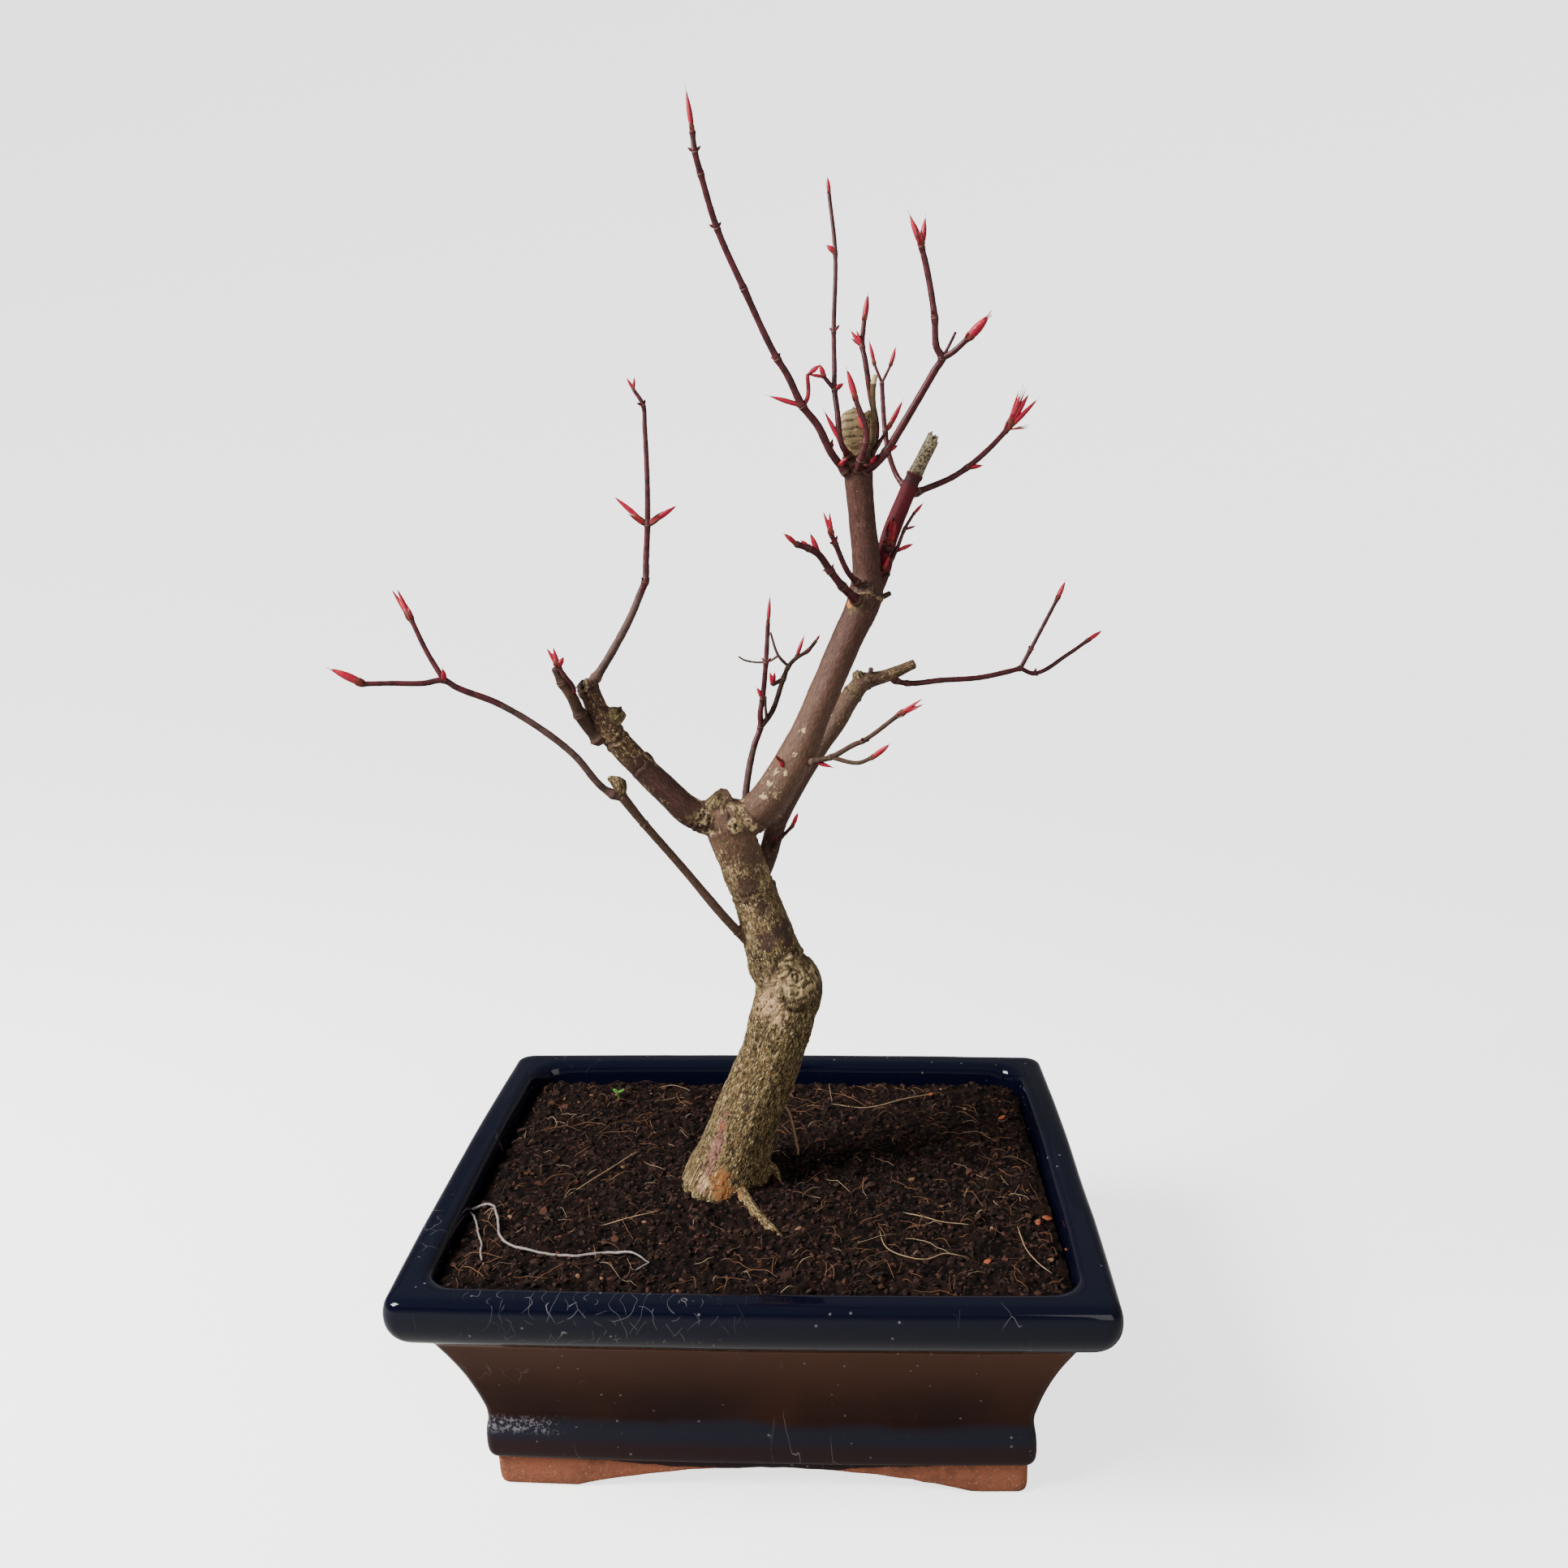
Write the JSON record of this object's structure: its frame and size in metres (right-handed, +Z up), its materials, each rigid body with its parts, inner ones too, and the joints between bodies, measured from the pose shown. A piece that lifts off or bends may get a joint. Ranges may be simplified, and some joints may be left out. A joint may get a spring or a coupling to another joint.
{
  "type": "japanese maple bonsai",
  "caption": "Bare japanese maple bonsai in early spring, with red buds opening on pruned boughs, standing in a glazed oblong pot with a thick rim and arched foot.",
  "frame": {"origin": "on the ground plane, under the middle of the pot", "axes": "+Z up, +X to the right along the pot's long side as the picture shows it, +Y away from the viewer"},
  "size_m": [0.2393, 0.1692, 0.4072],
  "materials": {
    "glaze": "glossy navy and brown glaze",
    "soil": "rough crumbs and fibres",
    "bark": "matt bark with fine cracks",
    "red_bark": "smooth young bark, satin",
    "twigs": "smooth dark red twigs and pink buds"
  },
  "bodies": {
    "root": {"pot": "glaze", "soil": "soil", "trunk": "bark", "left_bough": "bark", "low_left_limb": "bark", "leader_bough": "bark", "rear_bough": "bark", "red_bough": "red_bark", "left_shoot": "twigs", "left_spur": "twigs", "far_left_spray": "twigs", "top_left_shoot": "twigs", "top_middle_shoot": "twigs", "top_back_shoot": "twigs", "top_cut_twig": "twigs", "top_right_spray": "twigs", "top_front_spur": "twigs", "top_right_bud": "twigs", "upper_right_spray": "twigs", "red_left_twig": "twigs", "red_front_bud": "twigs", "red_side_twig": "twigs", "leader_left_spray": "twigs", "leader_left_twig": "twigs", "rear_right_spray": "twigs", "mid_right_spray": "twigs", "inner_spray": "twigs", "low_right_twiglet": "twigs"}
  },
  "joints": []
}
